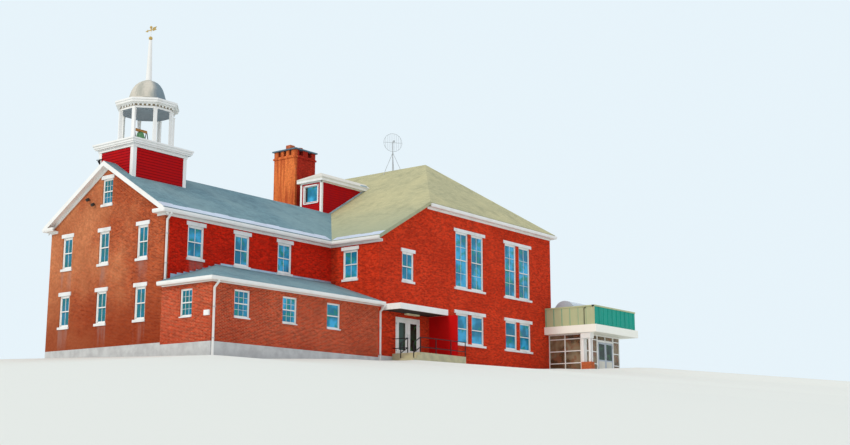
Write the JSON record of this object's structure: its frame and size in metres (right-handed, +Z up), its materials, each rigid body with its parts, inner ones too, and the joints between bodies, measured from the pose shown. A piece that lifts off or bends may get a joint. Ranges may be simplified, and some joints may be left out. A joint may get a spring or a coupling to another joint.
{
  "type": "school building",
  "caption": "Brick school building with a gabled wing under a belfry, a hip-roofed main block, a low side annex, an entrance canopy and a glazed lobby.",
  "frame": {"origin": "under the middle of the whole building's box, on the lowest ground that its walls reach", "axes": "+X along the building from the gabled wing to the lobby, +Y from the entrance side to the back, +Z up"},
  "size_m": [36.23, 24.06, 18.83],
  "materials": {
    "brick": "fired brick with mortar joints",
    "concrete": "painted and cast concrete",
    "floor_boards": "boards",
    "shingles": "weathered roof shingles",
    "white_paint": "white paint",
    "white_metal": "white enamel",
    "glass": "clear glass",
    "red_boards": "red painted boards",
    "red_panel": "smooth red render",
    "dome_metal": "weathered sheet",
    "gilt": "gilt",
    "ribbed_panel": "ribbed sheet",
    "back_wall": "flat sheet",
    "rooflight": "translucent vault",
    "black_rail": "black enamel",
    "grey_metal": "galvanised"
  },
  "bodies": {
    "building": {"gable_wall": "brick", "wing_side_walls": "brick", "annex_west_wall": "brick", "annex_south_wall": "brick", "front_wall": "brick", "front_wall_over_doors": "brick", "main_west_wall": "brick", "main_east_wall": "brick", "main_north_wall": "brick", "chimney": "brick", "chimney_pots": "brick", "lobby_corner_pier": "brick", "wing_base": "concrete", "annex_base": "concrete", "main_base": "concrete", "lobby_base": "concrete", "entrance_landing": "concrete", "chimney_cap": "concrete", "wing_upper_floors": "floor_boards", "main_upper_floors": "floor_boards", "wing_roof_south": "shingles", "wing_roof_north": "shingles", "catslide_roof": "shingles", "main_roof": "shingles", "annex_roof": "shingles", "dormer_roof": "shingles", "cornices": "white_paint", "belfry_cornice": "white_paint", "belfry_posts": "white_paint", "belfry_drum": "white_paint", "dormer_cornice": "white_paint", "window_frames": "white_paint", "lintels_and_sills": "white_paint", "door_frames": "white_paint", "spire": "white_paint", "entrance_canopy": "white_metal", "lobby_west_frame": "white_metal", "lobby_front_frame": "white_metal", "lobby_fascia": "white_metal", "lobby_posts": "white_metal", "downspouts": "white_metal", "window_glass": "glass", "lobby_glass": "glass", "dormer_walls": "red_boards", "belfry_base": "red_boards", "screen_wall": "red_panel", "belfry_dome": "dome_metal", "gilt_balls": "gilt", "lobby_parapet": "ribbed_panel", "lobby_back_walls": "back_wall", "lobby_rooflight": "rooflight", "handrails": "black_rail", "aerial": "grey_metal", "door_hinges": "grey_metal"},
    "entrance_leaf_left": {"entrance_door_left": "white_paint"},
    "entrance_leaf_right": {"entrance_door_right": "white_paint"},
    "lobby_leaf_left": {"lobby_door_left": "white_paint"},
    "lobby_leaf_right": {"lobby_door_right": "white_paint"},
    "vane": {"weather_vane": "gilt"}
  },
  "joints": [
    {"name": "entrance_left_hinge", "type": "hinge", "parent": "building", "child": "entrance_leaf_left", "pos_m": [-3.671, -8.122, 0.95], "axis": [0, 0, -1], "range_deg": [0, 95]},
    {"name": "entrance_right_hinge", "type": "hinge", "parent": "building", "child": "entrance_leaf_right", "pos_m": [-1.579, -8.122, 0.95], "axis": [0, 0, 1], "range_deg": [0, 95]},
    {"name": "lobby_left_hinge", "type": "hinge", "parent": "building", "child": "lobby_leaf_left", "pos_m": [14.574, -10.852, 0.85], "axis": [0, 0, -1], "range_deg": [0, 95]},
    {"name": "lobby_right_hinge", "type": "hinge", "parent": "building", "child": "lobby_leaf_right", "pos_m": [16.606, -10.852, 0.85], "axis": [0, 0, 1], "range_deg": [0, 95]},
    {"name": "vane_spindle", "type": "hinge", "parent": "building", "child": "vane", "pos_m": [-15.355, 0.125, 18.52], "axis": [0, 0, 1], "continuous": true}
  ]
}
